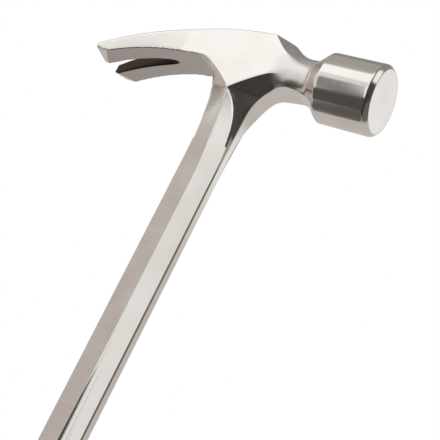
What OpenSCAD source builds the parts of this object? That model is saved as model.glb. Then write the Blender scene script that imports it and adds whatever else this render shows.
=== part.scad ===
// Framing hammer, forged in one piece, with a stacked leather grip.
// Millimetres. +Z runs up the handle to the head, +X to the striking face.
// The origin is the middle of the butt cap's flat end.

/* [Head] */

// Height of the striking face's axis above the butt
bell_axis_height = 391; // [330:1:450]
// Striking face ahead of the handle's middle
face_reach = 70; // [58:1:85]
// Claw tips behind the handle's middle
claw_reach = 79.6; // [68:0.2:92]
// Diameter of the bell
bell_d = 33; // [27:0.5:40]
// Length of the bell's round part, bevel included
bell_length = 27.2; // [20:0.2:34]
// Diameter of the flat striking face
face_d = 29.6; // [22:0.2:38]
// Length of the bevel round the face
face_bevel = 2; // [0.8:0.1:4]
// Length of the cone behind the bell
shoulder_length = 6.3; // [4:0.1:9]
// Diameter of the cone where it meets the neck's hollow
shoulder_d = 23; // [22.4:0.2:28]
// Diameter of the neck
neck_d = 22; // [20:0.2:24]
// Thinnest place of the neck ahead of the handle's middle
neck_place = 31.6; // [26:0.2:34]
// Radius of the hollow between neck and cheeks
neck_hollow_r = 16; // [12:0.5:24]
// Width across the two flat cheeks
cheek_width = 23; // [19:0.5:30]
// Width across the claw tips
claw_spread = 33.6; // [27:0.2:42]
// Top of the head above the bell's axis
crown_height = 15.3; // [12:0.1:20]
// Highest place of the crown ahead of the handle's middle
crown_place = 14.4; // [8:0.2:18]
// Radius of the crown along the head
crown_r = 167.7; // [140:1:220]

/* [Claws] */

// Thickness of the claws at the tips, before the ground bevels
claw_tip_thickness = 6.3; // [4:0.1:9]
// Highest place of the underside below the bell's axis
claw_under_drop = 3.85; // [2:0.05:6]
// Highest place of the underside behind the handle's middle
claw_under_place = 20; // [14:0.5:26]
// Where the claws start to spread, behind the handle's middle
spread_start = 34; // [26:1:50]
// Inner end of the nail slot, behind the handle's middle
slot_end = 41; // [36:0.5:52]
// Width of the nail slot at the tips
slot_mouth = 9.6; // [7:0.1:13]
// Radius of the slot's inner end
slot_end_r = 0.8; // [0.5:0.1:2]
// Length of the ground bevel under each tip
tip_bevel_length = 7.4; // [3:0.1:12]
// Slope of that bevel across the claw, in degrees
tip_bevel_tilt = 11.5; // [0:0.5:20]

/* [Shaft] */

// Width of the shaft, seen from the side
shaft_width = 20.4; // [16:0.2:26]
// Thickness of the shaft at its ridge
shaft_ridge = 9; // [7:0.2:12]
// Ridge ahead of the shaft's middle
ridge_offset = 0.8; // [-2:0.1:3]
// Thickness of the claw-side edge
claw_edge = 4.6; // [3:0.1:6]
// Thickness of the face-side edge
face_edge = 3.6; // [2.4:0.1:6]
// Width of the bevel beside the face-side edge
edge_bevel = 0.4; // [0.2:0.05:1]
// Thickness of the shaft where that bevel starts
edge_bevel_from = 5.6; // [4.6:0.1:7]
// Straight shaft ends this far below the bell's axis
flare_depth = 60; // [50:1:75]
// Lowest corner of the flat cheek below the bell's axis
cheek_drop = 16.8; // [13:0.2:22]
// That corner behind the handle's middle
cheek_corner_back = 0.6; // [0:0.1:3]
// Width of the small flat at that corner
cheek_corner_flat = 0.4; // [0.2:0.1:1]
// Reach of the hollow under the neck, from the shaft's edge
throat_reach = 21.4; // [17:0.2:26]
// Underside of the neck below the bell's axis
neck_under_drop = 8.3; // [7:0.1:9.5]
// Drop of the neck's underside on its way to the bell
neck_under_fall = 2.4; // [1:0.1:4]
// Length of that way
neck_under_length = 6.8; // [5:0.2:9]
// How far the neck's lower sides bulge
neck_bulge = 0.4; // [0:0.05:0.8]
// Depth of the scoops beside the throat
scoop_depth = 1; // [0:0.1:3]
// Reach of the curve under the claws, from the shaft's edge
claw_root_reach = 13; // [9:0.1:16]
// Radius of the tapering groove beside the ridge
groove_r = 4; // [2:0.5:8]
// Distance of the groove from the ridge
groove_shift = 1.15; // [0.6:0.05:2]
// Where the groove starts, below the bell's axis
groove_start = 152; // [120:1:200]
// Depth of the groove at the grip
groove_depth = 0.55; // [0.3:0.05:1]

/* [Tang] */

// Width of the tang inside the grip
tang_width = 14; // [10:0.5:17]
// Thickness of the tang
tang_thickness = 5; // [4:0.2:7]
// Gap between the tang and what is threaded on it
tang_clearance = 0.15; // [0.05:0.05:0.5]
// Tang's end above the butt
tang_end = 4; // [3:0.5:7]

/* [Grip] */

// Length from the butt to the top of the guard
grip_length = 146; // [120:1:170]
// Width of the grip, seen from the side
grip_width = 32; // [28:0.5:38]
// Thickness of the grip
grip_thickness = 24.5; // [20:0.5:30]
// How much the grip swells in the palm
palm_swell = 2.2; // [0:0.1:5]
// How much the grip flares at the butt
butt_flare = 4; // [0:0.2:8]
// Squareness of the grip's oval, 2 is an ellipse
oval_power = 2.3; // [2:0.1:3]
// Number of leather washers
washer_count = 32; // [20:1:36]
// Ground edge on each washer
washer_edge = 0.3; // [0.1:0.05:0.6]
// Thickness of the steel guard
guard_thickness = 3; // [2:0.2:5]
// How far the guard stands out round the leather
guard_lip = 1; // [0.4:0.1:2.5]
// Broken edge of the guard
guard_edge = 0.6; // [0.2:0.1:1]
// Thickness of one coloured spacer
spacer_thickness = 1.2; // [0.8:0.1:2]
// Number of spacers at each end
spacer_count = 3; // [1:1:4]
// Height of the butt cap
cap_height = 14; // [10:0.5:20]
// Rounding of the butt cap's end
cap_round = 3; // [1:0.5:5]
// How far the butt cap stands out round the leather
cap_lip = 0.4; // [0:0.1:1.5]
// Broken edge where the cap meets the spacers
cap_edge = 0.4; // [0.2:0.1:1]
// Diameter of the rivet through the butt cap
rivet_d = 4; // [3:0.5:6]
// Height of the rivet above the butt
rivet_height = 8.6; // [7:0.2:11]

/* [Hidden] */

overrun = 1;
weld = 0.15;
arc_steps = 36;
curve_steps = 12;
oval_steps = 36;
cap_steps = 4;
round_fn = 96;

// Head places, measured from the bell's axis.
bell_r = bell_d / 2;
face_r = face_d / 2;
neck_r = neck_d / 2;
cheek_half = cheek_width / 2;
bell_back = face_reach - bell_length;
shoulder_back = bell_back - shoulder_length;
hollow_turn_share = 0.6;
hollow_turn = neck_hollow_r * hollow_turn_share;
turn_x = neck_place - hollow_turn;
turn_r = neck_r + neck_hollow_r - sqrt(pow(neck_hollow_r, 2) - pow(hollow_turn, 2));
flare_slope = 0.62;
function turned_r(x) = x < turn_x
    ? turn_r + (turn_x - x) * flare_slope
    : neck_r + neck_hollow_r - sqrt(pow(neck_hollow_r, 2) - pow(neck_place - x, 2));
function turned_half(x, z) = min(cheek_half, sqrt(pow(turned_r(x), 2) - pow(z, 2)));

// Shaft places, measured from the bell's axis.
shaft_front = shaft_width / 2;
shaft_back = -shaft_width / 2;
flare_z = -flare_depth;
corner_x = -cheek_corner_back;
corner_z = -cheek_drop;
throat_x = shaft_front + throat_reach;
throat_z = -neck_under_drop;
root_x = shaft_back - claw_root_reach;
root_z = -claw_under_drop;
root_top = root_z + 2 * weld;
shaft_bottom = grip_length - bell_axis_height;
face_slope = (shaft_ridge - edge_bevel_from) / 2 / (shaft_front - edge_bevel - ridge_offset);
face_tilt = atan(face_slope);
throat_power = 3;
root_power = 2.75;
cheek_back_power = 1.4;
cheek_low_power = 1.85;
ridge_power = 1.9;
bevel_power = 2.1;
bevel_reach_power = 4;
throat_width_power = 0.85;
root_width_power = 2.45;
slot_power = 0.36;

function ease(t) = t * t * (3 - 2 * t);
function mix(a, b, t) = a + (b - a) * t;
function limit(t) = min(1, max(0, t));

// Side outline of the head.
function crown_at(x) = crown_height - crown_r + sqrt(pow(crown_r, 2) - pow(x - crown_place, 2));
// The underside is an arc through its highest place and the tips, whose height follows the crown.
tip_fall = -claw_under_drop - (crown_at(-claw_reach) - claw_tip_thickness);
tip_run = claw_reach - claw_under_place;
claw_under_r = (pow(tip_run, 2) + pow(tip_fall, 2)) / (2 * tip_fall);
function under_at(x) = -claw_under_drop - claw_under_r
    + sqrt(pow(claw_under_r, 2) - pow(x + claw_under_place, 2));

// Edge of the shaft under the neck, from the straight shaft to the neck.
function throat_share(z) = limit((z - flare_z) / (throat_z - flare_z));
function throat_edge_x(z) = shaft_front
    + throat_reach * (1 - pow(1 - pow(throat_share(z), throat_power), 1 / throat_power));
function throat_turn(z) = asin(pow(throat_share(z), throat_power / 2)) / 90;
neck_under_half = sqrt(pow(neck_r, 2) - pow(neck_under_drop, 2));
function throat_half(turn) = mix(face_edge / 2, neck_under_half, pow(turn, throat_width_power));
function throat_point(turn) = [
    shaft_front + throat_reach * (1 - pow(cos(90 * turn), 2 / throat_power)),
    throat_half(turn),
    flare_z + (throat_z - flare_z) * pow(sin(90 * turn), 2 / throat_power)];

// Edge of the shaft under the claws.
function root_share(z) = limit((z - flare_z) / (root_top - flare_z));
function root_edge_x(z) = shaft_back
    - claw_root_reach * (1 - pow(1 - pow(root_share(z), root_power), 1 / root_power));
function root_turn(z) = asin(pow(root_share(z), root_power / 2)) / 90;
root_full_share = 0.89;
function root_half(z) = mix(claw_edge / 2, cheek_half,
    pow(limit(root_turn(z) / root_full_share), root_width_power));

// Boundary of the flat cheek: its claw side and its face side.
cheek_front_share = 0.2;
cheek_start_share = 0.1;
root_start = root_x + claw_root_reach * cheek_start_share;
function cheek_back_x(z) = mix(root_start, corner_x,
    pow(limit((root_z - z) / (root_z - corner_z)), 1 / cheek_back_power));
cheek_front_x = neck_place - 2 * weld;
cheek_front_z = -neck_r * cheek_front_share;
function cheek_low(s) = [
    mix(corner_x + cheek_corner_flat, cheek_front_x, s),
    mix(corner_z, cheek_front_z, 1 - pow(1 - s, cheek_low_power))];

// Shaft section: claw edge, ridge, end of the bright bevel, scoop, face edge.
function below(z) = limit((corner_z - z) / (corner_z - flare_z));
function ridge_x(z) = mix(corner_x, ridge_offset, below(z));
function ridge_half(z) = mix(shaft_ridge / 2, cheek_half - weld, pow(1 - below(z), ridge_power));
function band_x(z) = mix(ridge_x(z) + cheek_corner_flat, throat_edge_x(z) - edge_bevel,
    1 - pow(1 - below(z), bevel_reach_power));
function band_half(z) = mix(edge_bevel_from / 2, cheek_half - weld, pow(1 - below(z), bevel_power));
scoop_shares = [0.2, 0.4, 0.6, 0.8];
function scoop_at(a, b, k, depth) = [
    mix(a[0], b[0], k),
    mix(a[1], b[1], k) - 4 * k * (1 - k) * depth,
    mix(a[2], b[2], k)];
function shaft_side(z) = let (
    band = [band_x(z), band_half(z), z],
    edge = [throat_edge_x(z), throat_half(throat_turn(z)), z],
    depth = scoop_depth * (1 - ease(below(z))))
    concat(
        [[root_edge_x(z), root_half(z), z], [ridge_x(z), ridge_half(z), z], band],
        [for (k = scoop_shares) scoop_at(band, edge, k, depth)],
        [edge]);
function both_sides(half) = concat(half, [for (i = [len(half) - 1:-1:0])
    [half[i][0], -half[i][1], half[i][2]]]);

// Faces between two rings of point numbers, and through a list of rings.
function band(low, high) = [for (j = [0:len(low) - 1]) let (k = (j + 1) % len(low))
    for (f = [[low[j], low[k], high[k]], [low[j], high[k], high[j]]]) f];
function stitch(rings, base, n) = [for (i = [0:1:len(rings) - 2])
    for (f = band([for (j = [0:n - 1]) base + i * n + j], [for (j = [0:n - 1]) base + (i + 1) * n + j])) f];

// Rings of the throat and of the bevels under the claws. Their inner
// edges lie inside the head, so that the forging is one body.
function throat_ring(s, turn, ahead) = let (
    low = cheek_low(s),
    edge = throat_point(turn),
    reach = norm([low[0] - edge[0], low[1] - edge[2]]),
    inward = [low[0] - edge[0], low[1] - edge[2]] / reach * 2 * weld,
    trim = ahead > 0 ? weld : 0,
    side = [low[0] + inward[0], turned_half(low[0], low[1]) - weld - trim, low[1] + inward[1]],
    foot = [edge[0], edge[1] - trim, edge[2] + trim],
    depth = mix(scoop_depth, -neck_bulge, s),
    half = concat([side], [for (k = scoop_shares) scoop_at(side, foot, k, depth)], [foot]))
    [for (p = both_sides(half)) [p[0] + ahead, p[1], p[2]]];
function root_ring(z, ahead) = both_sides([
    [root_edge_x(z) + ahead, root_half(z) - weld, z + ahead],
    [cheek_back_x(z) + 2 * weld + ahead, cheek_half - weld, z + ahead]]);

// A solid through a list of rings with the same number of points.
module loft(rings) {
    n = len(rings[0]);
    last = (len(rings) - 1) * n;
    polyhedron(
        [for (ring = rings) for (p = ring) p],
        concat(
            [[for (j = [n - 1:-1:0]) j]],
            stitch(rings, 0, n),
            [[for (j = [0:n - 1]) last + j]]),
        convexity = 4);
}

// Grip places and its oval section, measured from the butt.
guard_low = grip_length - guard_thickness;
leather_low = cap_height + spacer_count * spacer_thickness;
leather_high = guard_low - spacer_count * spacer_thickness;
washer_thickness = (leather_high - leather_low) / washer_count;
flare_reach_share = 0.34;
function swell_at(z) = palm_swell / 2 * pow(sin(180 * limit(z / grip_length)), 2);
function flare_at(z) = butt_flare / 2 * pow(1 - limit(z / (flare_reach_share * grip_length)), 2);
function oval_ring(z, out) = let (
    a = grip_width / 2 + swell_at(z) + flare_at(z) + out,
    b = grip_thickness / 2 + swell_at(z) + flare_at(z) / 2 + out)
    [for (i = [0:oval_steps - 1]) let (c = cos(-360 * i / oval_steps), s = sin(-360 * i / oval_steps))
        [a * sign(c) * pow(abs(c), 2 / oval_power), b * sign(s) * pow(abs(s), 2 / oval_power), z]];

// Side outline: crown, bell, underside of the neck, cheek, claws.
module head_outline() {
    tip_x = -claw_reach;
    clear_r = bell_r + overrun;
    top = [for (i = [0:arc_steps]) let (x = mix(tip_x, crown_place, i / arc_steps)) [x, crown_at(x)]];
    low = [for (i = [curve_steps:-1:1]) cheek_low(i / curve_steps)];
    back = [for (i = [1:curve_steps]) let (z = mix(corner_z, root_z, i / curve_steps)) [cheek_back_x(z), z]];
    under = [for (i = [1:arc_steps]) let (x = mix(root_start, tip_x, i / arc_steps)) [x, under_at(x)]];
    polygon(concat(
        top,
        [[neck_place, crown_height], [neck_place, clear_r], [face_reach + overrun, clear_r],
            [face_reach + overrun, -clear_r], [bell_back, -clear_r], [bell_back, -bell_r],
            [neck_place + neck_under_length, throat_z - neck_under_fall],
            [neck_place, throat_z + weld], [cheek_front_x, throat_z + weld]],
        low, [[corner_x + cheek_corner_flat / 2, corner_z - 2 * weld]], back, under));
}

// Outline from above: spreading claws, flat cheeks, room for the bell.
module plan_outline() {
    tip_half = claw_spread / 2;
    clear_r = bell_r + overrun;
    half = [[-claw_reach - overrun, tip_half], [-spread_start, cheek_half], [neck_place, cheek_half],
        [neck_place, clear_r], [face_reach + overrun, clear_r]];
    polygon(concat(half, [for (i = [len(half) - 1:-1:0]) [half[i][0], -half[i][1]]]));
}

// Turned shape of the bell and neck, which also rounds the front of the cheeks.
module turning() {
    back_x = -claw_reach - overrun;
    hollow = [for (i = [0:curve_steps]) let (x = mix(turn_x, neck_place, i / curve_steps)) [turned_r(x), x]];
    cone_foot = [for (i = [1:curve_steps]) let (t = i / curve_steps)
        [mix(neck_r, shoulder_d / 2, t * t), mix(neck_place, shoulder_back, t)]];
    rotate([0, 90, 0])
        rotate_extrude($fn = round_fn)
            polygon(concat(
                [[0, back_x], [claw_reach, back_x], [claw_reach, corner_x], [turned_r(corner_x), corner_x]],
                hollow, cone_foot,
                [[bell_r, bell_back], [bell_r, face_reach - face_bevel],
                    [face_r, face_reach], [0, face_reach]]));
}

module nail_slot() {
    span = claw_reach - slot_end;
    half = [for (i = [0:curve_steps]) let (t = pow(i / curve_steps, 1.5))
        [-slot_end - t * span, max(slot_end_r / 2, slot_mouth / 2 * pow(t, slot_power))]];
    mirrored = [for (i = [curve_steps:-1:0]) [half[i][0], -half[i][1]]];
    translate([0, 0, -crown_r])
        linear_extrude(2 * crown_r)
            polygon(concat(half, [[-claw_reach - 2 * overrun, slot_mouth / 2],
                [-claw_reach - 2 * overrun, -slot_mouth / 2]], mirrored));
}

module tip_bevels() {
    tip_x = -claw_reach;
    level = under_at(tip_x + tip_bevel_length);
    for (side = [-1, 1])
        translate([0, side * claw_spread / 2, level])
            rotate([side * tip_bevel_tilt, 0, 0])
                translate([tip_x - overrun, -claw_spread, -crown_height])
                    cube([tip_bevel_length + overrun + slot_mouth, 2 * claw_spread, crown_height]);
}

module head() {
    difference() {
        intersection() {
            rotate([90, 0, 0])
                translate([0, 0, -claw_spread])
                    linear_extrude(2 * claw_spread)
                        head_outline();
            translate([0, 0, -crown_r])
                linear_extrude(2 * crown_r)
                    plan_outline();
            turning();
        }
        nail_slot();
        tip_bevels();
    }
}

// Shaft up to the lowest corner of the cheeks, where it parts into
// the throat under the neck and the bevels under the claws.
module shank() {
    n = len(shaft_side(corner_z));
    shaft_levels = concat([shaft_bottom],
        [for (i = [0:arc_steps / 2]) mix(flare_z, corner_z, i / (arc_steps / 2))]);
    shaft_rings = [for (z = shaft_levels) both_sides(shaft_side(z))];
    start_turn = throat_turn(corner_z);
    throat_rings = concat(
        [for (i = [1:curve_steps]) let (s = i / curve_steps) throat_ring(s, mix(start_turn, 1, s), 0)],
        [throat_ring(1, 1, overrun)]);
    root_levels = [for (i = [1:curve_steps]) mix(corner_z, root_top, sin(90 * i / curve_steps))];
    root_rings = concat(
        [for (z = root_levels) root_ring(z, 0)],
        [root_ring(root_top, overrun)]);
    tops = len(shaft_rings) - 1;
    lower = stitch(shaft_rings, 0, 2 * n);
    throat_from = tops * 2 * n;
    throat_start = [for (j = [2:2 * n - 3]) throat_from + j];
    root_start_ring = [throat_from, throat_from + 1, throat_from + 2 * n - 2, throat_from + 2 * n - 1];
    throat_base = (tops + 1) * 2 * n;
    m = len(throat_start);
    root_base = throat_base + len(throat_rings) * m;
    faces = concat(
        lower,
        [[for (j = [2 * n - 1:-1:0]) j]],
        band(throat_start, [for (j = [0:m - 1]) throat_base + j]),
        stitch(throat_rings, throat_base, m),
        [[for (j = [0:m - 1]) throat_base + (len(throat_rings) - 1) * m + j]],
        band(root_start_ring, [for (j = [0:3]) root_base + j]),
        stitch(root_rings, root_base, 4),
        [[for (j = [0:3]) root_base + (len(root_rings) - 1) * 4 + j]],
        [[throat_from + 1, throat_from + 2, throat_from + 2 * n - 3, throat_from + 2 * n - 2]]);
    polyhedron(
        concat(
            [for (ring = shaft_rings) for (p = ring) p],
            [for (ring = throat_rings) for (p = ring) p],
            [for (ring = root_rings) for (p = ring) p]),
        faces, convexity = 10);
}

// Shallow grooves that open beside the ridge towards the grip.
module grooves() {
    length = -shaft_bottom - groove_start;
    surface = shaft_ridge / 2 - groove_shift * face_slope;
    for (side = [-1, 1])
        translate([
            ridge_offset + groove_shift + groove_r * sin(face_tilt),
            side * (surface + groove_r * cos(face_tilt)),
            -groove_start])
            rotate([-side * atan(groove_depth / length), 0, 0])
                translate([0, 0, -length - overrun])
                    cylinder(h = length + overrun + flare_depth, r = groove_r, $fn = round_fn);
}

// Flat tang that carries the grip, and the room it needs.
module tang_bar(clearance, low, high) {
    width = tang_width + 2 * clearance;
    thickness = tang_thickness + 2 * clearance;
    translate([-width / 2, -thickness / 2, low])
        cube([width, thickness, high - low]);
}

module rivet_rod() {
    translate([0, grip_thickness, rivet_height])
        rotate([90, 0, 0])
            cylinder(h = 2 * grip_thickness, d = rivet_d, $fn = round_fn);
}

module forging() {
    color("silver")
        difference() {
            union() {
                translate([0, 0, bell_axis_height]) {
                    head();
                    difference() {
                        shank();
                        grooves();
                    }
                }
                tang_bar(0, tang_end, grip_length + overrun);
            }
            rivet_rod();
        }
}

// Oval disc that the shaft's shoulders rest on.
module guard() {
    color("gainsboro")
        difference() {
            loft([
                oval_ring(guard_low, guard_lip - guard_edge),
                oval_ring(guard_low + guard_edge, guard_lip),
                oval_ring(grip_length - guard_edge, guard_lip),
                oval_ring(grip_length, guard_lip - guard_edge)]);
            tang_bar(tang_clearance, guard_low - overrun, grip_length + overrun);
        }
}

module slice(low, high, edge) {
    difference() {
        loft([
            oval_ring(low, -edge),
            oval_ring(low + edge, 0),
            oval_ring(high - edge, 0),
            oval_ring(high, -edge)]);
        tang_bar(tang_clearance, low - overrun, high + overrun);
    }
}

module spacer(low, i) {
    color(i % 2 == 0 ? "black" : "ivory")
        slice(low + i * spacer_thickness, low + (i + 1) * spacer_thickness, washer_edge / 3);
}

module leather_washer(i) {
    color("peru")
        slice(leather_low + i * washer_thickness, leather_low + (i + 1) * washer_thickness, washer_edge);
}

// Metal cap on the tang's end, with a blind pocket and a cross rivet.
module cap_form() {
    loft(concat(
        [for (i = [0:cap_steps]) let (turn = 90 * i / cap_steps)
            oval_ring(cap_round * (1 - cos(turn)), cap_lip - cap_round * (1 - sin(turn)))],
        [oval_ring(cap_height - cap_edge, cap_lip), oval_ring(cap_height, cap_lip - cap_edge)]));
}

module butt_cap() {
    color("darkgray")
        difference() {
            cap_form();
            tang_bar(tang_clearance, tang_end, cap_height + overrun);
            rivet_rod();
        }
}

module butt_rivet() {
    color("dimgray")
        intersection() {
            rivet_rod();
            cap_form();
        }
}

forging();
guard();
for (i = [0:1:spacer_count - 1])
    spacer(leather_high, i);
for (i = [0:1:washer_count - 1])
    leather_washer(i);
for (i = [0:1:spacer_count - 1])
    spacer(cap_height, i);
butt_cap();
butt_rivet();
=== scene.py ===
import bpy
import math
from mathutils import Matrix, Vector


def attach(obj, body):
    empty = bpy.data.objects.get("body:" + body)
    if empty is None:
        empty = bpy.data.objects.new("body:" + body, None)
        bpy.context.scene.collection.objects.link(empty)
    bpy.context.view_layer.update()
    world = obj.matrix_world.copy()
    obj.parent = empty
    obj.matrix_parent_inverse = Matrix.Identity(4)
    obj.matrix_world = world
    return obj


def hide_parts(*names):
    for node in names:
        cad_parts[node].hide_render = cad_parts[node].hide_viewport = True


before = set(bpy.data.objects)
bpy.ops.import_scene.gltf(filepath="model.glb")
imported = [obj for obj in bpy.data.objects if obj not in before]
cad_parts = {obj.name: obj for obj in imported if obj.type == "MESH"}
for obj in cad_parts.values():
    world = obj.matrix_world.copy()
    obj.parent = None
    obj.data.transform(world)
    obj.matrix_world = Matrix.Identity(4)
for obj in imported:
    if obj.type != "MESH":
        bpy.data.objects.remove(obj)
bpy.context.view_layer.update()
print("Frame loaded:", len(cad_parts), "nodes")

mm = 0.001
scene = bpy.context.scene
scene.view_settings.view_transform = "Standard"


# Helpers.
def mix(a, b, t):
    return a + (b - a) * t


def limit(t):
    return min(1.0, max(0.0, t))


def ease(t):
    return t * t * (3 - 2 * t)


# 0 at start, 1 at end and eased between them, also where end is the lower value.
def ramp(value, start, end):
    return ease(limit((value - start) / (end - start)))


def clearSelection():
    if bpy.context.object and bpy.context.object.mode != "OBJECT":
        bpy.ops.object.mode_set(mode="OBJECT")
    bpy.ops.object.select_all(action="DESELECT")


def pick(piece):
    clearSelection()
    piece.select_set(True)
    bpy.context.view_layer.objects.active = piece


def addMesh(name, points, edges=(), faces=()):
    shape = bpy.data.meshes.new(name)
    shape.from_pydata(points, edges, faces)
    shape.validate()
    piece = bpy.data.objects.new(name, shape)
    scene.collection.objects.link(piece)
    return piece


def outwards(piece):
    pick(piece)
    bpy.ops.object.mode_set(mode="EDIT")
    bpy.ops.mesh.select_all(action="SELECT")
    bpy.ops.mesh.remove_doubles(threshold=1e-4)
    bpy.ops.mesh.normals_make_consistent(inside=False)
    bpy.ops.object.mode_set(mode="OBJECT")


def applyModifier(piece, kind, **settings):
    pick(piece)
    modifier = piece.modifiers.new(kind.title(), kind)
    for key, value in settings.items():
        setattr(modifier, key, value)
    bpy.ops.object.modifier_apply(modifier=modifier.name)


def cut(piece, tool, operation="DIFFERENCE"):
    applyModifier(piece, "BOOLEAN", object=tool, operation=operation, solver="EXACT")
    bpy.data.objects.remove(tool)


def joinPieces(pieces, base):
    clearSelection()
    for piece in pieces:
        piece.select_set(True)
    bpy.context.view_layer.objects.active = base
    bpy.ops.object.join()
    return bpy.context.object


def makeBox(size, place):
    bpy.ops.mesh.primitive_cube_add(size=1)
    box = bpy.context.object
    box.data.transform(Matrix.Translation(place) @ Matrix.Diagonal((*size, 1)))
    return box


# A round rod along Y.
def makeRod(radius, length, height):
    bpy.ops.mesh.primitive_cylinder_add(vertices=64, radius=radius, depth=length)
    rod = bpy.context.object
    rod.data.transform(Matrix.Translation((0, 0, height)) @ Matrix.Rotation(math.pi / 2, 4, "X"))
    return rod


# A side outline, or one half of a plan outline, extruded to reach on both sides.
def extrudeOutline(name, outline, plane, reach):
    if plane == "side":
        points = [(x, -reach, z) for x, z in outline]
        push = (0, 2 * reach, 0)
    else:
        points = [(x, y, -reach) for x, y in outline + [(x, -y) for x, y in reversed(outline)]]
        push = (0, 0, 2 * reach)
    piece = addMesh(name, points, faces=[list(range(len(points)))])
    pick(piece)
    bpy.ops.object.mode_set(mode="EDIT")
    bpy.ops.mesh.select_all(action="SELECT")
    bpy.ops.mesh.extrude_region_move(TRANSFORM_OT_translate={"value": push})
    bpy.ops.object.mode_set(mode="OBJECT")
    outwards(piece)
    return piece


# A profile of (along, radius) pairs spun round an axis.
def spinProfile(name, profile, axis, steps):
    points = [(along, 0, radius) for along, radius in profile]
    piece = addMesh(name, points, edges=[(i, i + 1) for i in range(len(points) - 1)])
    pick(piece)
    bpy.ops.object.mode_set(mode="EDIT")
    bpy.ops.mesh.select_all(action="SELECT")
    bpy.ops.mesh.spin(steps=steps, angle=math.tau, center=(0, 0, 0), axis=axis)
    bpy.ops.object.mode_set(mode="OBJECT")
    outwards(piece)
    return piece


# Faces through rings of points, closed at both ends.
def skinRings(name, rings):
    count = len(rings[0])
    points = [p for ring in rings for p in ring]
    faces = []
    for i in range(len(rings) - 1):
        for j in range(count):
            k = (j + 1) % count
            faces.append([i * count + j, i * count + k, (i + 1) * count + k, (i + 1) * count + j])
    faces.append(list(range(count))[::-1])
    faces.append([(len(rings) - 1) * count + j for j in range(count)])
    piece = addMesh(name, points, faces=faces)
    outwards(piece)
    return piece


# The forging, in millimetres from the bell's axis. axisHeight, tangEnd and rivetHeight count from the butt.
forgingSizes = {
    "axisHeight": 391.0, "faceReach": 70.0, "clawReach": 79.6,
    "bellDiameter": 33.0, "bellLength": 27.2, "faceDiameter": 29.6, "faceBevel": 2.0,
    "shoulderLength": 6.3, "shoulderDiameter": 23.0,
    "neckDiameter": 22.0, "neckPlace": 31.6, "hollowRadius": 16.0, "hollowShare": 0.6, "flareSlope": 0.62,
    "sideHollowRadius": 37.0, "sideHollowHeight": 1.22, "sideHollowSlack": 0.1,
    "cheekWidth": 23.0, "clawSpread": 33.6, "spreadStart": 34.0,
    "crownHeight": 15.3, "crownPlace": 14.4, "crownRadius": 167.7,
    "underDrop": 3.85, "underPlace": 20.0, "underRadius": 119.0,
    "slotEnd": 41.0, "slotMouth": 9.6, "slotEndRadius": 0.8, "slotPower": 0.36,
    "tipBevelLength": 7.4, "tipBevelTilt": 11.5,
    "shaftWidth": 20.4, "shaftRidge": 9.0, "ridgeOffset": 0.8,
    "clawEdge": 4.6, "faceEdge": 3.6, "edgeBevel": 0.4, "edgeBevelFrom": 5.6,
    "flareDepth": 60.0, "cheekDrop": 16.8, "cornerBack": 0.6, "cornerFlat": 0.4,
    "cheekPower": 1.6, "cheekEnd": 0.03, "cheekBackPower": 1.4, "ridgePower": 1.9, "bandPower": 2.0, "bandBend": 4,
    "throatReach": 21.4, "throatDrop": 8.3, "throatFall": 2.4, "throatFallLength": 6.8,
    "throatPower": 3.3, "throatWidth": 11.2, "neckStrip": 12.8, "seamHeight": -43.0,
    "neckBulge": 0.4, "scoopDepth": 0.35, "scoopFade": 0.45,
    "clawRootReach": 13.0, "clawRootShare": 0.9, "rootPower": 2.75, "rootWidening": 2.45, "rootFull": 0.89,
    "grooveRadius": 7.0, "grooveShift": 1.7, "grooveStart": 152.0, "grooveDepth": 1.1,
    "shaftBottom": -245.0, "weld": 0.15,
    "tangWidth": 14.0, "tangThickness": 5.0, "tangEnd": 4.0,
    "rivetDiameter": 4.0, "rivetHeight": 8.6,
    "arcSteps": 90, "curveSteps": 40, "hollowSteps": 24, "shaftSteps": 70, "bevelSteps": 30,
    "scoopSteps": 10, "roundSteps": 192, "grooveSteps": 128, "cutReach": 60.0,
    "voxel": 0.46, "smoothing": 4, "keptAngle": 7,
    # rounds of smoothing, and from where to where each sets in
    "neckSmoothing": 70, "neckBack": (15, 23), "neckFront": (38.5, 35.5), "neckLow": (-14, -12),
    "crownHigh": (7, 11), "crownFront": (30, 26),
    "rootSmoothing": 40, "rootFront": (-2.5, -5), "rootBack": (-26, -22), "rootLow": (-26, -21),
    "rootHigh": (-7, -10), "rootSide": (10.2, 8.7),
    "scoopSmoothing": 150, "scoopCheek": (0.8, 3.3), "scoopBand": (0.8, 2.8), "scoopEdge": (0.6, 2.6),
    "scoopLow": (-41, -32), "scoopFront": (25, 20),
}
s = forgingSizes
flareZ = -s["flareDepth"]
cornerX, cornerZ = -s["cornerBack"], -s["cheekDrop"]
neckRadius = s["neckDiameter"] / 2
cheekHalf = s["cheekWidth"] / 2
throatZ = -s["throatDrop"]
rootZ = -s["underDrop"]
rootTop = rootZ + 2 * s["weld"]
shaftFront, shaftBack = s["shaftWidth"] / 2, -s["shaftWidth"] / 2
hollowTurn = s["hollowRadius"] * s["hollowShare"]
turnX = s["neckPlace"] - hollowTurn
turnRadius = neckRadius + s["hollowRadius"] - math.sqrt(s["hollowRadius"] ** 2 - hollowTurn ** 2)
rootStart = shaftBack - s["clawRootReach"] * s["clawRootShare"]


def crownAt(x):
    return s["crownHeight"] - s["crownRadius"] + math.sqrt(s["crownRadius"] ** 2 - (x - s["crownPlace"]) ** 2)


def underAt(x):
    return -s["underDrop"] - s["underRadius"] + math.sqrt(s["underRadius"] ** 2 - (x + s["underPlace"]) ** 2)


def turnedRadius(x):
    if x < turnX:
        return turnRadius + (turnX - x) * s["flareSlope"]
    return neckRadius + s["hollowRadius"] - math.sqrt(s["hollowRadius"] ** 2 - (s["neckPlace"] - x) ** 2)


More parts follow.
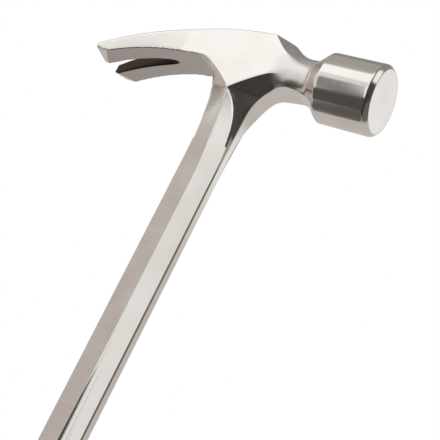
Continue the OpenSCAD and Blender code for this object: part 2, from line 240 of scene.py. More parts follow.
def sideRadius(x):
    hollow = s["sideHollowRadius"]
    return neckRadius + s["sideHollowSlack"] + hollow - math.sqrt(hollow ** 2 - (s["neckPlace"] - x) ** 2)


# Half the width of the head between cheeks and neck.
def turnedHalf(x, z):
    turned = math.sqrt(turnedRadius(x) ** 2 - z ** 2)
    hollow = math.sqrt(max(sideRadius(x) ** 2 - (z / s["sideHollowHeight"]) ** 2, 1))
    return min(turned, hollow, cheekHalf)


# The cheek's lower edge, from its corner over the shaft at 0 to the neck at 1.
def cheekLow(t):
    return (mix(cornerX + s["cornerFlat"], s["neckPlace"] - 2 * s["weld"], t),
            mix(cornerZ, -neckRadius * s["cheekEnd"], 1 - (1 - t) ** s["cheekPower"]))


def cheekBackX(z):
    return mix(rootStart, cornerX, limit((rootZ - z) / (rootZ - cornerZ)) ** (1 / s["cheekBackPower"]))


# Edge of the shaft under the neck, turn 0 on the shaft and 1 at the neck.
def throatEdgeX(z):
    share, power = limit((z - flareZ) / (throatZ - flareZ)), s["throatPower"]
    return shaftFront + s["throatReach"] * (1 - (1 - share ** power) ** (1 / power))


def throatTurn(z):
    return math.asin(limit((z - flareZ) / (throatZ - flareZ)) ** (s["throatPower"] / 2)) / (math.pi / 2)


def throatHalf(turn):
    wide = mix(s["faceEdge"] / 2, s["throatWidth"] / 2, ramp(turn, 0.08, 0.48))
    return mix(wide, s["neckStrip"] / 2, ramp(turn, 0.6, 1.0))


def throatPoint(turn):
    angle, power = turn * math.pi / 2, 2 / s["throatPower"]
    return (shaftFront + s["throatReach"] * (1 - abs(math.cos(angle)) ** power),
            throatHalf(turn), flareZ + (throatZ - flareZ) * math.sin(angle) ** power)


def rootShare(z):
    return limit((z - flareZ) / (rootTop - flareZ))


def rootEdgeX(z):
    return shaftBack - s["clawRootReach"] * (1 - (1 - rootShare(z) ** s["rootPower"]) ** (1 / s["rootPower"]))


def rootHalf(z):
    turn = math.asin(rootShare(z) ** (s["rootPower"] / 2)) / (math.pi / 2)
    return mix(s["clawEdge"] / 2, cheekHalf, limit(turn / s["rootFull"]) ** s["rootWidening"])


# Points from a to b that sink by depth in the middle.
def scoopRow(a, b, depth):
    row = []
    for i in range(1, s["scoopSteps"]):
        k = i / s["scoopSteps"]
        row.append((mix(a[0], b[0], k), mix(a[1], b[1], k) - 4 * k * (1 - k) * depth, mix(a[2], b[2], k)))
    return row


def bothSides(half):
    return half + [(x, -y, z) for x, y, z in reversed(half)]


# Half of the shaft's cut at a height, in its parts.
def shaftRing(z):
    below = limit((cornerZ - z) / (cornerZ - flareZ))
    topHalf = cheekHalf - s["weld"]
    ridge = (mix(cornerX, s["ridgeOffset"], below),
             mix(s["shaftRidge"] / 2, topHalf, (1 - below) ** s["ridgePower"]), z)
    band = (mix(ridge[0] + s["cornerFlat"], throatEdgeX(z) - s["edgeBevel"], 1 - (1 - below) ** s["bandBend"]),
            mix(s["edgeBevelFrom"] / 2, topHalf, (1 - below) ** s["bandPower"]), z)
    edge = (throatEdgeX(z), throatHalf(throatTurn(z)), z)
    root = (rootEdgeX(z), rootHalf(z), z)
    depth = s["scoopDepth"] * (1 - ease(below))
    return root, ridge, band, scoopRow(band, edge, depth), edge


# A loop of the scooped throat, from the cheek's edge at t to the shaft's edge at turn.
def throatRing(t, turn, ahead):
    low, edge = cheekLow(t), throatPoint(turn)
    reach = math.hypot(low[0] - edge[0], low[1] - edge[2])
    push = 2 * s["weld"] / reach
    trim = s["weld"] if ahead else 0
    side = (low[0] + (low[0] - edge[0]) * push, turnedHalf(*low) - trim,
            low[1] + (low[1] - edge[2]) * push)
    foot = (edge[0], edge[1] - trim, edge[2] + trim)
    depth = mix(s["scoopDepth"], -s["neckBulge"], t)
    half = [side] + scoopRow(side, foot, depth) + [foot]
    fade = ramp(t, s["scoopFade"], 1)      # towards the neck the scoop fades into its round
    half = [(x, mix(y, turnedHalf(x, z) - trim, fade), z) for x, y, z in half]
    return [(x + ahead, y, z) for x, y, z in bothSides(half)]


def rootRing(z, ahead):
    return bothSides([
        (rootEdgeX(z) + ahead, rootHalf(z) - s["weld"], z + ahead),
        (cheekBackX(z) + 2 * s["weld"] + ahead, cheekHalf - s["weld"], z + ahead)])


def makeHead():
    steps = s["arcSteps"]
    tipX = -s["clawReach"]
    clear = s["bellDiameter"] / 2 + 1
    bellBack = s["faceReach"] - s["bellLength"]
    neckFront = s["neckPlace"] - 2 * s["weld"]
    outline = [(x, crownAt(x)) for x in (mix(tipX, s["crownPlace"], i / steps) for i in range(steps + 1))]
    outline += [(s["neckPlace"], s["crownHeight"]), (s["neckPlace"], clear), (s["faceReach"] + 1, clear),
                (s["faceReach"] + 1, -clear), (bellBack, -clear), (bellBack, -s["bellDiameter"] / 2),
                (s["neckPlace"] + s["throatFallLength"], throatZ - s["throatFall"]),
                (s["neckPlace"], throatZ + s["weld"]), (neckFront, throatZ + s["weld"])]
    outline += [cheekLow(i / s["curveSteps"]) for i in range(s["curveSteps"], 0, -1)]
    outline.append((cornerX + s["cornerFlat"] / 2, cornerZ - 2 * s["weld"]))
    for i in range(1, s["curveSteps"] + 1):
        z = mix(cornerZ, rootZ, i / s["curveSteps"])
        outline.append((cheekBackX(z), z))
    outline += [(x, underAt(x)) for x in (mix(rootStart, tipX, i / steps) for i in range(1, steps + 1))]
    head = extrudeOutline("forgedHead", outline, "side", s["clawSpread"])

    half = [(tipX - 1, s["clawSpread"] / 2), (-s["spreadStart"], cheekHalf), (s["neckPlace"], cheekHalf),
            (s["neckPlace"], clear), (s["faceReach"] + 1, clear)]
    cut(head, extrudeOutline("planCutter", half, "plan", s["cutReach"]), "INTERSECT")

    hollow = s["hollowSteps"]
    profile = [(tipX - 1, 0), (tipX - 1, s["clawReach"]), (cornerX, s["clawReach"]),
               (cornerX, turnedRadius(cornerX))]
    profile += [(x, turnedRadius(x)) for x in (mix(turnX, s["neckPlace"], i / hollow) for i in range(hollow + 1))]
    shoulderBack = bellBack - s["shoulderLength"]
    for i in range(1, hollow + 1):
        t = i / hollow
        profile.append((mix(s["neckPlace"], shoulderBack, t), mix(neckRadius, s["shoulderDiameter"] / 2, t * t)))
    profile += [(bellBack, s["bellDiameter"] / 2), (s["faceReach"] - s["faceBevel"], s["bellDiameter"] / 2),
                (s["faceReach"], s["faceDiameter"] / 2), (s["faceReach"], 0)]
    cut(head, spinProfile("turnedForm", profile, (1, 0, 0), s["roundSteps"]), "INTERSECT")

    # a longer hollow takes the corners off between cheeks and neck
    sides = [(tipX - 1, 0), (tipX - 1, s["clawReach"]), (-2, s["clawReach"])]
    curve = s["curveSteps"]
    sides += [(x, sideRadius(x)) for x in (mix(0, s["neckPlace"], i / curve) for i in range(curve + 1))]
    sides += [(s["neckPlace"] + 3, clear), (s["faceReach"] + 1, clear + 1), (s["faceReach"] + 1, 0)]
    sideForm = spinProfile("sideForm", sides, (1, 0, 0), s["roundSteps"])
    sideForm.data.transform(Matrix.Diagonal((1, 1, s["sideHollowHeight"], 1)))
    cut(head, sideForm, "INTERSECT")

    slotHalf = []
    for i in range(s["curveSteps"] + 1):
        t = (i / s["curveSteps"]) ** 1.5
        slotHalf.append((-s["slotEnd"] - t * (s["clawReach"] - s["slotEnd"]),
                         max(s["slotEndRadius"] / 2, s["slotMouth"] / 2 * t ** s["slotPower"])))
    slotHalf.append((tipX - 2, s["slotMouth"] / 2))
    cut(head, extrudeOutline("nailSlot", slotHalf, "plan", s["cutReach"]))

    # each tip is ground at a tilt from below
    level = underAt(tipX + s["tipBevelLength"])
    length = s["tipBevelLength"] + 1 + s["slotMouth"]
    for side in (-1, 1):
        grinder = makeBox((length, 2 * s["clawSpread"], s["crownHeight"]),
                          (tipX - 1 + length / 2, 0, -s["crownHeight"] / 2))
        grinder.data.transform(Matrix.Translation((0, side * s["clawSpread"] / 2, level))
                               @ Matrix.Rotation(math.radians(side * s["tipBevelTilt"]), 4, "X"))
        cut(head, grinder)
    return head


def shaftBetween(name, levels):
    rings = []
    for z in levels:
        root, ridge, band, scoop, edge = shaftRing(z)
        rings.append(bothSides([root, ridge, band] + scoop + [edge]))
    return skinRings(name, rings)


# The shaft in two parts. The lower one keeps its crisp ridge, the upper one joins the head.
def makeShank():
    seam, steps = s["seamHeight"], s["curveSteps"]
    count = s["bevelSteps"]
    lower = shaftBetween("lowerShaft",
                         [s["shaftBottom"]] + [mix(flareZ, seam, i / count) for i in range(count + 1)])
    count = s["shaftSteps"]
    upper = shaftBetween("upperShaft", [mix(seam - 0.9, cornerZ, i / count) for i in range(count + 1)])

    root, ridge, band, scoop, edge = shaftRing(cornerZ)
    top = bothSides([band] + scoop + [edge])
    throat = [[(x - 3, y * 0.85, z - 1.5) for x, y, z in top], top]      # starts inside the shaft
    turns = [mix(throatTurn(cornerZ), 1, i / steps) for i in range(1, steps + 1)]
    throat += [throatRing((i + 1) / steps, turn, 0) for i, turn in enumerate(turns)]
    throat.append(throatRing(1, 1, 1))

    loops = [bothSides([(root[0], root[1] * 0.98, cornerZ - 1.5), (ridge[0] + 0.3, ridge[1] * 0.9, cornerZ - 1.5)]),
             bothSides([root, ridge])]
    levels = [mix(cornerZ, rootTop, math.sin(math.pi / 2 * i / steps)) for i in range(1, steps + 1)]
    loops += [rootRing(z, 0) for z in levels] + [rootRing(rootTop, 1)]

    cutGrooves(lower)
    return lower, [upper, skinRings("throatForm", throat), skinRings("clawRoot", loops)]


# The long groove beside the ridge starts at grooveStart and gets deeper towards the grip.
def cutGrooves(shaft):
    length = -s["shaftBottom"] - s["grooveStart"]
    slope = (s["shaftRidge"] - s["edgeBevelFrom"]) / 2 / (shaftFront - s["edgeBevel"] - s["ridgeOffset"])
    tilt = math.atan(slope)
    surface = s["shaftRidge"] / 2 - s["grooveShift"] * slope
    radius, reach = s["grooveRadius"], s["cutReach"] + 1
    for side in (-1, 1):
        bpy.ops.mesh.primitive_cylinder_add(vertices=s["grooveSteps"], radius=radius, depth=length + reach)
        cutter = bpy.context.object
        cutter.data.transform(Matrix.Translation((0, 0, (length + reach) / 2 - length - 1)))
        cutter.data.transform(Matrix.Rotation(-side * math.atan(s["grooveDepth"] / length), 4, "X"))
        cutter.data.transform(Matrix.Translation((
            s["ridgeOffset"] + s["grooveShift"] + radius * math.sin(tilt),
            side * (surface + radius * math.cos(tilt)), -s["grooveStart"])))
        cut(shaft, cutter)


# The scoop without its edges.
def scoopShare(x, y, z):
    t = limit((x - cornerX) / (s["neckPlace"] - cornerX))
    below = limit((cornerZ - z) / (cornerZ - flareZ))
    share, power = limit((x - shaftFront) / s["throatReach"]), s["throatPower"]
    curve = flareZ + (throatZ - flareZ) * (1 - (1 - share) ** power) ** (1 / power)
    bandX = mix(cornerX, throatEdgeX(z), 1 - (1 - below) ** s["bandBend"])
    inside = (ramp(cheekLow(t)[1] - z, *s["scoopCheek"]) * ramp(x - bandX, *s["scoopBand"])
              * ramp(throatEdgeX(z) - x, *s["scoopEdge"]) * (ramp(z - curve, *s["scoopEdge"]) if share else 1))
    return inside * ramp(z, *s["scoopLow"]) * ramp(x, *s["scoopFront"])


# The neck with its run into cheeks and throat, but not the crown's edge.
def neckShare(x, y, z):
    crown = ramp(z, *s["crownHigh"]) * ramp(x, *s["crownFront"])
    return ramp(x, *s["neckBack"]) * ramp(x, *s["neckFront"]) * ramp(z, *s["neckLow"]) * (1 - crown)


# The bevels under the claws, short of their edges.
def bevelShare(x, y, z):
    return (ramp(x, *s["rootFront"]) * ramp(x, *s["rootBack"]) * ramp(z, *s["rootLow"])
            * ramp(z, *s["rootHigh"]) * ramp(abs(y), *s["rootSide"]))


# Smooths a piece with a weight for each place.
def softly(piece, iterations, weightAt):
    zone = piece.vertex_groups.new(name="softZone")
    for vertex in piece.data.vertices:
        weight = weightAt(*vertex.co)
        if weight > 0.01:
            zone.add([vertex.index], weight, "REPLACE")
    applyModifier(piece, "SMOOTH", factor=0.5, iterations=iterations, vertex_group="softZone")
    piece.vertex_groups.clear()


def makeForging():
    head = makeHead()
    lower, parts = makeShank()
    tangTop = s["shaftBottom"] + 1
    tangLow = s["tangEnd"] - s["axisHeight"]
    tang = makeBox((s["tangWidth"], s["tangThickness"], tangTop - tangLow), (0, 0, (tangTop + tangLow) / 2))
    cut(tang, makeRod(s["rivetDiameter"] / 2, s["cutReach"], s["rivetHeight"] - s["axisHeight"]))

    forging = joinPieces(parts + [head], head)
    forging.name = "forged_hammer"
    applyModifier(forging, "REMESH", mode="VOXEL", voxel_size=s["voxel"], adaptivity=0)
    applyModifier(forging, "SMOOTH", factor=0.5, iterations=s["smoothing"])
    softly(forging, s["neckSmoothing"], neckShare)
    softly(forging, s["scoopSmoothing"], scoopShare)
    softly(forging, s["rootSmoothing"], bevelShare)
    pick(forging)
    bpy.ops.object.shade_smooth()
    for part in (lower, tang):
        pick(part)
        bpy.ops.object.shade_smooth_by_angle(angle=math.radians(s["keptAngle"]))
    joinPieces((lower, tang, forging), forging)
    forging.data.transform(Matrix.Scale(mm, 4) @ Matrix.Translation((0, 0, s["axisHeight"])))
    return forging


forging = makeForging()
print("Forging:", len(forging.data.polygons), "faces", [round(v, 5) for v in forging.dimensions])


# The grip, in millimetres from the butt.
gripSizes = {
    "length": 146.0, "width": 32.0, "thickness": 24.5, "palmSwell": 2.2, "buttFlare": 4.0,
    "flareReach": 0.34, "ovalPower": 2.3, "washerCount": 32, "washerEdge": 0.35,
    "guardThickness": 3.0, "guardLip": 1.0, "guardEdge": 0.6,
    "spacerThickness": 1.2, "spacerCount": 3, "spacerEdge": 0.12,
    "capHeight": 14.0, "capRound": 3.0, "capLip": 0.4, "capEdge": 0.4,
    "clearance": 0.15, "steps": 96, "rimSteps": 4, "ringSpacing": 3.0,
    "capRoundSteps": 12, "capWallSteps": 4, "capEdgeSteps": 3, "keptAngle": 35, "capAngle": 30,
}
g = gripSizes
guardLow = g["length"] - g["guardThickness"]
leatherLow = g["capHeight"] + g["spacerCount"] * g["spacerThickness"]
leatherHigh = guardLow - g["spacerCount"] * g["spacerThickness"]
washerThickness = (leatherHigh - leatherLow) / g["washerCount"]


def ovalRing(z, out):
    share = limit(z / g["length"])
    swell = g["palmSwell"] / 2 * math.sin(math.pi * share) ** 2
    flare = g["buttFlare"] / 2 * (1 - limit(z / (g["flareReach"] * g["length"]))) ** 2
    a = g["width"] / 2 + swell + flare + out
    b = g["thickness"] / 2 + swell + flare / 2 + out
    ring = []
    for i in range(g["steps"]):
        turn = math.tau * i / g["steps"]
        c, t = math.cos(turn), math.sin(turn)
        ring.append((a * math.copysign(abs(c) ** (2 / g["ovalPower"]), c),
                     b * math.copysign(abs(t) ** (2 / g["ovalPower"]), t), z))
    return ring


# Takes the room of the tang out of a piece of the grip, clearance included.
def cutTangSlot(piece, low, high):
    cut(piece, makeBox((s["tangWidth"] + 2 * g["clearance"], s["tangThickness"] + 2 * g["clearance"], high - low),
                       (0, 0, (low + high) / 2)))


# A slice of the grip from low to high with rounded rims and the tang's slot.
def makeSlice(name, low, high, out, rim):
    count = g["rimSteps"]
    turns = [math.pi / 2 * i / count for i in range(count + 1)]
    rings = [ovalRing(low + rim * (1 - math.cos(turn)), out - rim * (1 - math.sin(turn))) for turn in turns]
    middle = max(1, round((high - low) / g["ringSpacing"]))
    rings += [ovalRing(mix(low + rim, high - rim, i / middle), out) for i in range(1, middle)]
    rings += [ovalRing(high - rim * (1 - math.cos(turn)), out - rim * (1 - math.sin(turn)))
              for turn in reversed(turns)]
    piece = skinRings(name, rings)
    cutTangSlot(piece, low - 1, high + 1)
    return piece


def settle(piece, node, material):
    piece.data.materials.clear()
    piece.data.materials.append(material)
    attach(piece, "root")
    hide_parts(node)


def finishPiece(piece, node, material, angle=g["keptAngle"]):
    piece.data.transform(Matrix.Scale(mm, 4))
    pick(piece)
    bpy.ops.object.shade_smooth_by_angle(angle=math.radians(angle))
    settle(piece, node, material)


# A socket that can be used in Python sums. Each sum adds a Math node.
class Wire:
    def __init__(self, sheet, socket):
        self.sheet, self.socket = sheet, socket

    def sum(self, operation, first, second):
        return self.sheet.sum(operation, first, second)

    def __add__(self, other): return self.sum("ADD", self, other)
    def __radd__(self, other): return self.sum("ADD", other, self)
    def __sub__(self, other): return self.sum("SUBTRACT", self, other)
    def __rsub__(self, other): return self.sum("SUBTRACT", other, self)
    def __mul__(self, other): return self.sum("MULTIPLY", self, other)
    def __rmul__(self, other): return self.sum("MULTIPLY", other, self)
    def __truediv__(self, other): return self.sum("DIVIDE", self, other)
    def __pow__(self, other): return self.sum("POWER", self, other)
    def __neg__(self): return self.sum("MULTIPLY", self, -1.0)


class Sheet:
    def __init__(self, tree):
        self.tree = tree
        tree.nodes.clear()

    def node(self, kind, settings=None, values=None, out=0):
        made = self.tree.nodes.new(kind)
        for key, value in (settings or {}).items():
            setattr(made, key, value)
        for key, value in (values or {}).items():
            if isinstance(value, Wire):
                self.tree.links.new(value.socket, made.inputs[key])
            else:
                made.inputs[key].default_value = value
        return Wire(self, made.outputs[out]) if made.outputs else None

    def sum(self, operation, first, second=0):
        return self.node("ShaderNodeMath", {"operation": operation}, {0: first, 1: second})

    def step(self, value, low, high):
        return self.node("ShaderNodeMapRange", {"interpolation_type": "SMOOTHSTEP", "clamp": True},
                         {"Value": value, "From Min": low, "From Max": high})

    def noise(self, scale, detail):
        spot = self.node("ShaderNodeTexCoord", out="Object")
        place = self.node("ShaderNodeMapping", None, {"Vector": spot, "Scale": scale})
        return self.node("ShaderNodeTexNoise", None, {"Vector": place, "Scale": 1.0, "Detail": detail})

    def blendColour(self, factor, first, second):
        return self.node("ShaderNodeMix", {"data_type": "RGBA"}, {0: factor, 6: first, 7: second}, out=2)

    def axes(self, kind="Object"):
        spot = self.node("ShaderNodeTexCoord", out=kind)
        parts = self.node("ShaderNodeSeparateXYZ", None, {0: spot}).socket.node
        return [Wire(self, socket) for socket in parts.outputs]


def newMaterial(name):
    material = bpy.data.materials.new(name)
    material.use_nodes = True
    return material, Sheet(material.node_tree)


def finishSurface(sheet, colour, roughness, bump, look, fixed):
    normal = sheet.node("ShaderNodeBump", None, {
        "Strength": look["bumpStrength"], "Distance": look["bumpDepth"], "Height": bump})
    surface = sheet.node("ShaderNodeBsdfPrincipled", None, {
        "Base Color": colour, "Roughness": roughness, "Normal": normal, **fixed})
    sheet.node("ShaderNodeOutputMaterial", None, {"Surface": surface})


steelLook = {
    "colour": (0.800, 0.785, 0.760, 1), "warm": (0.735, 0.705, 0.665, 1),
    # the colour under the claws is darker as painted shade, over their rougher ground finish
    # the slot's near black also paints dark lines of shade along the slot's edges
    "ground": (0.50, 0.475, 0.45, 1), "slotDark": (0.055, 0.047, 0.040, 1),
    "headRoughness": 0.14, "shaftRoughness": 0.24, "bellRoughness": 0.13, "neckRoughness": 0.32,
    "groundRoughness": 0.20, "slotRoughness": 0.25, "brushRoughness": 0.14, "cloudRoughness": 0.05,
    "bumpStrength": 0.5, "bumpDepth": 0.000012,
    # places in millimetres from the bell's axis where a finish fades in
    "bandWidth": 9.5, "bandEdge": (-0.6, 0.6), "bandTop": (-15, -19), "shaftTop": (-46, -70),
    "bellBack": (34, 40), "bellLow": (-31, -21),
    "neckBack": (15, 21), "neckFront": (37, 34), "neckHigh": (9, 4), "neckLow": (-9, -5),
    "slotEdge": (0.55, 0.25), "slotBack": (1.2, 0.4), "groundEdge": (0.5, 0.1), "groundFront": (-14, -26),
}


def makeSteel():
    material, sheet = newMaterial("polishedSteel")
    look = steelLook
    x, y, z = sheet.axes()
    x, z = x * 1000, z * 1000 - s["axisHeight"]       # millimetres from the bell's axis
    side = sheet.sum("ABSOLUTE", y * 1000)

    # where each finish lies
    bandLine = (1 - ((z - flareZ) / (cornerZ - flareZ)) ** s["bandBend"]) * look["bandWidth"]
    onBand = sheet.step(bandLine - x, *look["bandEdge"]) * sheet.step(z, *look["bandTop"])
    onShaft = sheet.step(z, *look["shaftTop"])
    onShaft = onShaft + (1 - onShaft) * onBand
    onBell = sheet.step(x, *look["bellBack"]) * sheet.step(z, *look["bellLow"])
    onNeck = (sheet.step(x, *look["neckBack"]) * sheet.step(x, *look["neckFront"])
              * sheet.step(z, *look["neckHigh"]) * sheet.step(z, *look["neckLow"]))

    # the slot's walls are coloured almost black and made rougher, and the colour runs onto the edges beside the
    # slot as painted dark lines of shade
    share = sheet.sum("MAXIMUM", (-x - s["slotEnd"]) / (s["clawReach"] - s["slotEnd"]), 0.0)
    slotHalf = share ** s["slotPower"] * (s["slotMouth"] / 2)
    inSlot = sheet.step(side - slotHalf, *look["slotEdge"]) * sheet.step(x + s["slotEnd"], *look["slotBack"])
    # under the claws the finish is ground and rougher, and the darker colour given there is painted shade
    below = sheet.sum("SQRT", s["underRadius"] ** 2 - (x + s["underPlace"]) ** 2)
    below = below - s["underRadius"] - s["underDrop"]
    ground = sheet.step(z - below, *look["groundEdge"]) * sheet.step(x, *look["groundFront"])

    across = sheet.noise((60, 60, 2600), 4)                             # belt marks across the shaft
    along = 0.5 + (sheet.noise((40, 500, 1400), 4) - 0.5) * 0.5         # polishing marks along the head
    turned = 0.5 + (sheet.noise((2600, 40, 40), 4) - 0.5) * 0.4         # lathe marks round the bell
    cloud = sheet.noise((45, 45, 45), 2)
    brush = across * onShaft + (1 - onShaft) * (turned * onBell + (1 - onBell) * along)
    roughness = (look["headRoughness"] + (look["shaftRoughness"] - look["headRoughness"]) * onShaft
                 + (look["neckRoughness"] - look["headRoughness"]) * onNeck
                 + (look["bellRoughness"] - look["headRoughness"]) * onBell
                 + look["groundRoughness"] * ground + look["slotRoughness"] * inSlot
                 + (brush - 0.5) * look["brushRoughness"] + (cloud - 0.5) * look["cloudRoughness"])
    colour = sheet.blendColour(sheet.step(cloud * 0.6 + brush * 0.4, 0.35, 0.65), look["warm"], look["colour"])
    # darker under the claws: painted shade
    colour = sheet.blendColour(ground, colour, look["ground"])
    # near black in the slot, with painted shade lines along the slot's edges
    colour = sheet.blendColour(inSlot, colour, look["slotDark"])
    finishSurface(sheet, colour, roughness, brush, look, {"Metallic": 1.0})
    return material


leatherLook = {
    "dark": (0.115, 0.040, 0.014, 1), "light": (0.330, 0.135, 0.050, 1), "seam": (0.030, 0.010, 0.004, 1),
    "roughness": 0.34, "bumpStrength": 0.5, "bumpDepth": 0.00012, "coat": 0.35, "coatRoughness": 0.22,
}


def makeLeather():
    material, sheet = newMaterial("stackedLeather")
    look = leatherLook
    z = sheet.axes()[2]
    into = (z - leatherLow * mm) / (washerThickness * mm)
    shade = sheet.node("ShaderNodeTexWhiteNoise", {"noise_dimensions": "1D"}, {"W": sheet.sum("FLOOR", into)})
    fibre = sheet.noise((300, 300, 2200), 5)
    patches = sheet.noise((55, 55, 90), 4)
    pores = sheet.noise((1400, 1400, 1400), 2)
    tone = sheet.step(shade * 0.55 + patches * 0.45 + (fibre - 0.5) * 0.4, 0.2, 0.85)
    colour = sheet.blendColour(tone, look["dark"], look["light"])
    seam = sheet.sum("PINGPONG", into, 0.5)
    colour = sheet.blendColour(sheet.step(seam, 0.10, 0.02), colour, look["seam"])
    roughness = look["roughness"] + (patches - 0.5) * 0.25 + (fibre - 0.5) * 0.12
    finishSurface(sheet, colour, roughness, fibre * 0.6 + pores * 0.4, look,
                  {"Coat Weight": look["coat"], "Coat Roughness": look["coatRoughness"]})
    return material


fibreLook = {
    "darkFibre": [(0.012, 0.011, 0.010, 1), (0.035, 0.032, 0.028, 1)],
    "paleFibre": [(0.56, 0.47, 0.31, 1), (0.74, 0.67, 0.50, 1)],
    "roughness": 0.38, "bumpStrength": 0.3, "bumpDepth": 0.00005, "coat": 0.2,
}


def makeFibre(name):
    material, sheet = newMaterial(name)
    look = fibreLook
    grain = sheet.noise((500, 500, 1500), 4)
    speck = sheet.noise((120, 120, 120), 2)
    colour = sheet.blendColour(sheet.step(grain * 0.7 + speck * 0.3, 0.3, 0.7), *look[name])
    roughness = look["roughness"] + (grain - 0.5) * 0.2
    finishSurface(sheet, colour, roughness, grain, look, {"Coat Weight": look["coat"]})
    return material


# Metal of the fittings: two colours, marks by their scale, and how much they roughen it.
fittingLooks = {
    "guardSteel": {
        "colours": [(0.62, 0.60, 0.57, 1), (0.74, 0.73, 0.71, 1)], "marks": (900, 900, 60), "detail": 3,
        "clouds": (90, 90, 90), "cloudDetail": 2, "roughness": 0.20, "spread": 0.12,
        "bumpStrength": 0.25, "bumpDepth": 0.00001},
    "capAluminium": {
        "colours": [(0.72, 0.72, 0.72, 1), (0.83, 0.83, 0.82, 1)], "marks": (70, 70, 2400), "detail": 4,
        "clouds": (70, 70, 70), "cloudDetail": 3, "roughness": 0.24, "spread": 0.14,
        "bumpStrength": 0.4, "bumpDepth": 0.00001},
    "rivetSteel": {
        "colours": [(0.50, 0.49, 0.47, 1), (0.66, 0.65, 0.63, 1)], "marks": (200, 200, 2400), "detail": 3,
        "clouds": None, "roughness": 0.26, "spread": 0.15,
        "bumpStrength": 0.4, "bumpDepth": 0.00001},
}


def makeFitting(name):
    material, sheet = newMaterial(name)
    look = fittingLooks[name]
    marks = sheet.noise(look["marks"], look["detail"])
    share = sheet.step(sheet.noise(look["clouds"], look["cloudDetail"]), 0.3, 0.7) if look["clouds"] else marks
    colour = sheet.blendColour(share, *look["colours"])
    roughness = look["roughness"] + (marks - 0.5) * look["spread"]
    finishSurface(sheet, colour, roughness, marks, look, {"Metallic": 1.0})
    return material


steel, leather = makeSteel(), makeLeather()
darkFibre, paleFibre = makeFibre("darkFibre"), makeFibre("paleFibre")
guardSteel, capMetal, rivetSteel = makeFitting("guardSteel"), makeFitting("capAluminium"), makeFitting("rivetSteel")
print("Materials made")


settle(forging, "forging", steel)

finishPiece(makeSlice("guard_disc", guardLow, g["length"], g["guardLip"], g["guardEdge"]),
            "guard", guardSteel)
for end, low in (("front", leatherHigh), ("rear", g["capHeight"])):
    for i in range(g["spacerCount"]):
        bottom = low + i * g["spacerThickness"]
        piece = makeSlice(f"{end}_spacer_disc_{i + 1}", bottom, bottom + g["spacerThickness"], 0, g["spacerEdge"])
        even = i % 2 == 0
        finishPiece(piece, f"{end}_spacer_{i + 1}",
                    darkFibre if even else paleFibre)
for i in range(g["washerCount"]):
    bottom = leatherLow + i * washerThickness
    piece = makeSlice(f"leather_disc_{i + 1}", bottom, bottom + washerThickness, 0, g["washerEdge"])
    finishPiece(piece, f"leather_washer_{i + 1}", leather)
print("Grip stacked")


def makeCap():
    roundSteps, wallSteps, edgeSteps = g["capRoundSteps"], g["capWallSteps"], g["capEdgeSteps"]
    lip, edge, top = g["capLip"], g["capEdge"], g["capHeight"]
    rings = []
    for i in range(roundSteps + 1):
        turn = math.pi / 2 * i / roundSteps
        rings.append(ovalRing(g["capRound"] * (1 - math.cos(turn)), lip - g["capRound"] * (1 - math.sin(turn))))
    for i in range(1, wallSteps + 1):
        rings.append(ovalRing(mix(g["capRound"], top - edge, i / wallSteps), lip))
    for i in range(1, edgeSteps + 1):
        turn = math.pi / 2 * i / edgeSteps
        rings.append(ovalRing(top - edge * (1 - math.sin(turn)), lip - edge * (1 - math.cos(turn))))
    return skinRings("butt_cap_body", rings)


cap = makeCap()
rivet = makeRod(s["rivetDiameter"] / 2, s["cutReach"], s["rivetHeight"])
rivet.name = "cap_rivet"
form = cap.copy()
form.data = cap.data.copy()
scene.collection.objects.link(form)
cut(rivet, form, "INTERSECT")                # its ends follow the cap's round
cut(cap, makeRod(s["rivetDiameter"] / 2, s["cutReach"], s["rivetHeight"]))
cutTangSlot(cap, s["tangEnd"], g["capHeight"] + 1)
finishPiece(cap, "butt_cap", capMetal, g["capAngle"])
finishPiece(rivet, "butt_rivet", rivetSteel, g["capAngle"])
print("Butt cap and rivet made")


# The camera that was fitted to the photograph.
photoView = {
    "place": (0.2028357, -0.3123396, 0.2450493),
    "right": (0.817835, 0.375423, 0.436124), "up": (-0.298566, -0.371065, 0.879300),
    "back": (0.491939, -0.849334, -0.191382), "lens": 66.338, "sensor": 36, "nearest": 0.01,
}


def makeCamera():
    data = bpy.data.cameras.new("photoView")
    camera = bpy.data.objects.new("photoView", data)
    scene.collection.objects.link(camera)
    turn = Matrix((photoView["right"], photoView["up"], photoView["back"])).transposed()
    camera.matrix_world = Matrix.Translation(photoView["place"]) @ turn.to_4x4()
    data.sensor_width = photoView["sensor"]
    data.lens = photoView["lens"]
    data.clip_start = photoView["nearest"]
    scene.camera = camera


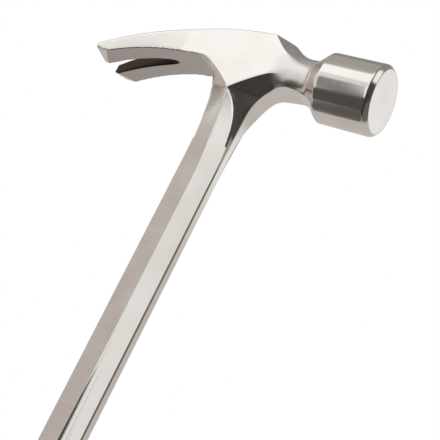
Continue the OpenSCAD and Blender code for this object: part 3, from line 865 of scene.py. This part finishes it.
studioLight = {
    "plain": 0.30, "pink": (1, 0.885, 0.85, 1),
    # bearing from and to, rise from and to, brightness, soft edge, and for some the share of pink
    "panels": [
        (30, 175, -80, 30, 0.62, 30, 0.6),   # pale backdrop and floor behind
        (150, 228, -75, 70, 0.57, 12, 1),    # wall on the claws' side
        (150, 228, 46, 80, 0.42, 12, 0.2),
        (-137, -22, -88, -3, 0.045, 8),      # dark floor before the hammer
        (-150, -60, -57, -18, 0.055, 8),
        (-142, -112, -60, -22, 0.09, 8),
        (145, 228, -76, -58, 0.12, 6),       # floor's far end under the bell
        (-120, -113, -24, 8, 0.16, 3),
        (-24, 28, -75, -5, 0.15, 12, 0.3),
        (-95, -22, -8, 26, 0.07, 6),         # dark room beside the camera
        (-26, 17, -8, 24, 0.08, 8),
        (168, 190, 2, 24, 1.10, 5),
        (144, 162, 20, 40, 0.30, 6),
        (160, 176, 18, 34, 0.12, 6),
        (-134, -95, 9, 56, 1.22, 10),        # large softbox on the left
        (-121, -108, 8, 20, 0.86, 4),
        (-142, -125, 47, 62, 0.45, 4),
        (-144, -132, 18, 44, 1.15, 6),
        (-136, -120, -26, 12, 1.10, 5),
        (-112, -106, -24, 8, 1.45, 4),
        (-106, -94, -24, 9, 1.12, 5),
        (-48, 6, 27, 64, 1.10, 7),           # small softbox on the right
        (44, 76, 10, 38, 0.98, 7),           # white card on the striking side
    ],
    "dimTint": (1, 0.93, 0.87, 1), "brightTint": (1, 0.995, 0.985, 1), "white": (1, 1, 1, 1),
    "floorRadius": 0.5, "floorColour": (0.86, 0.86, 0.85, 1), "whiteFrom": 0.12, "whiteAt": 0.42,
    # lamps by bearing, rise, distance, size and watts
    "lamps": {"softKey": (-110, 40, 1.6, 1.2, 14), "softFill": (20, 35, 1.8, 1.2, 8)},
    "lampAim": (0, 0, 0.2),
}


def direction(bearing, rise):
    a, e = math.radians(bearing), math.radians(rise)
    return Vector((math.cos(e) * math.cos(a), math.cos(e) * math.sin(a), math.sin(e)))


def makeWorld():
    world = bpy.data.worlds.new("studio")
    scene.world = world
    world.use_nodes = True
    sheet = Sheet(world.node_tree)
    x, y, z = sheet.axes("Generated")
    degrees = 180 / math.pi
    bearing = sheet.sum("ARCTAN2", y, x) * degrees
    behind = sheet.sum("ARCTAN2", 0 - y, 0 - x) * degrees + 180      # the same, with its jump at 0
    rise = sheet.sum("ARCSINE", z) * degrees
    light, pink = studioLight["plain"], 0.0
    for left, right, low, high, strength, soft, *rosy in studioLight["panels"]:
        angle = behind if right > 180 or left > 100 else bearing
        half = soft / 2
        glow = (sheet.step(angle, left - half, left + half) * sheet.step(angle, right + half, right - half)
                * sheet.step(rise, low - half, low + half) * sheet.step(rise, high + half, high - half))
        light = light * (1 - glow) + glow * strength
        pink = pink * (1 - glow) + glow * (rosy[0] if rosy else 0.0)
    seen = sheet.node("ShaderNodeLightPath", out="Is Camera Ray")
    tint = sheet.blendColour(sheet.step(light, 0.0, 0.9), studioLight["dimTint"], studioLight["brightTint"])
    tint = sheet.blendColour(pink, tint, studioLight["pink"])
    colour = sheet.blendColour(seen, tint, studioLight["white"])
    shine = sheet.node("ShaderNodeBackground", None, {"Color": colour, "Strength": light * (1 - seen) + seen})
    sheet.node("ShaderNodeOutputWorld", None, {"Surface": shine})


def makeFloor():
    bpy.ops.mesh.primitive_circle_add(vertices=128, radius=studioLight["floorRadius"], fill_type="NGON",
                                      location=(0, 0, -0.5 * mm))
    floor = bpy.context.object
    floor.name = "floor"
    material, sheet = newMaterial("paleFloor")
    spot = sheet.node("ShaderNodeTexCoord", out="Object")
    reach = sheet.node("ShaderNodeVectorMath", {"operation": "LENGTH"}, {0: spot}, out="Value")
    seen = sheet.node("ShaderNodeLightPath", out="Is Camera Ray")
    fade = sheet.step(reach, studioLight["whiteFrom"], studioLight["whiteAt"]) * seen
    plain = sheet.node("ShaderNodeBsdfDiffuse", None, {"Color": studioLight["floorColour"]})
    white = sheet.node("ShaderNodeEmission", None, {"Color": studioLight["white"], "Strength": 1.0})
    floorLook = sheet.node("ShaderNodeMixShader", None, {0: fade, 1: plain, 2: white})
    # in the metal the studio's own floor tones show
    clear = sheet.node("ShaderNodeBsdfTransparent")
    mirrored = sheet.node("ShaderNodeLightPath", out="Is Glossy Ray")
    sheet.node("ShaderNodeOutputMaterial", None, {"Surface": sheet.node(
        "ShaderNodeMixShader", None, {0: mirrored, 1: floorLook, 2: clear})})
    floor.data.materials.append(material)


def makeLamp(name, bearing, rise, distance, size, power):
    data = bpy.data.lights.new(name, "AREA")
    data.shape = "SQUARE"
    data.size = size
    data.energy = power
    lamp = bpy.data.objects.new(name, data)
    scene.collection.objects.link(lamp)
    aim = Vector(studioLight["lampAim"])
    lamp.location = aim + direction(bearing, rise) * distance
    lamp.rotation_mode = "QUATERNION"
    lamp.rotation_quaternion = (lamp.location - aim).to_track_quat("Z", "Y")
    lamp.visible_glossy = False
    lamp.visible_camera = False


makeCamera()
makeWorld()
makeFloor()
for name, values in studioLight["lamps"].items():
    makeLamp(name, *values)
print("Studio set")
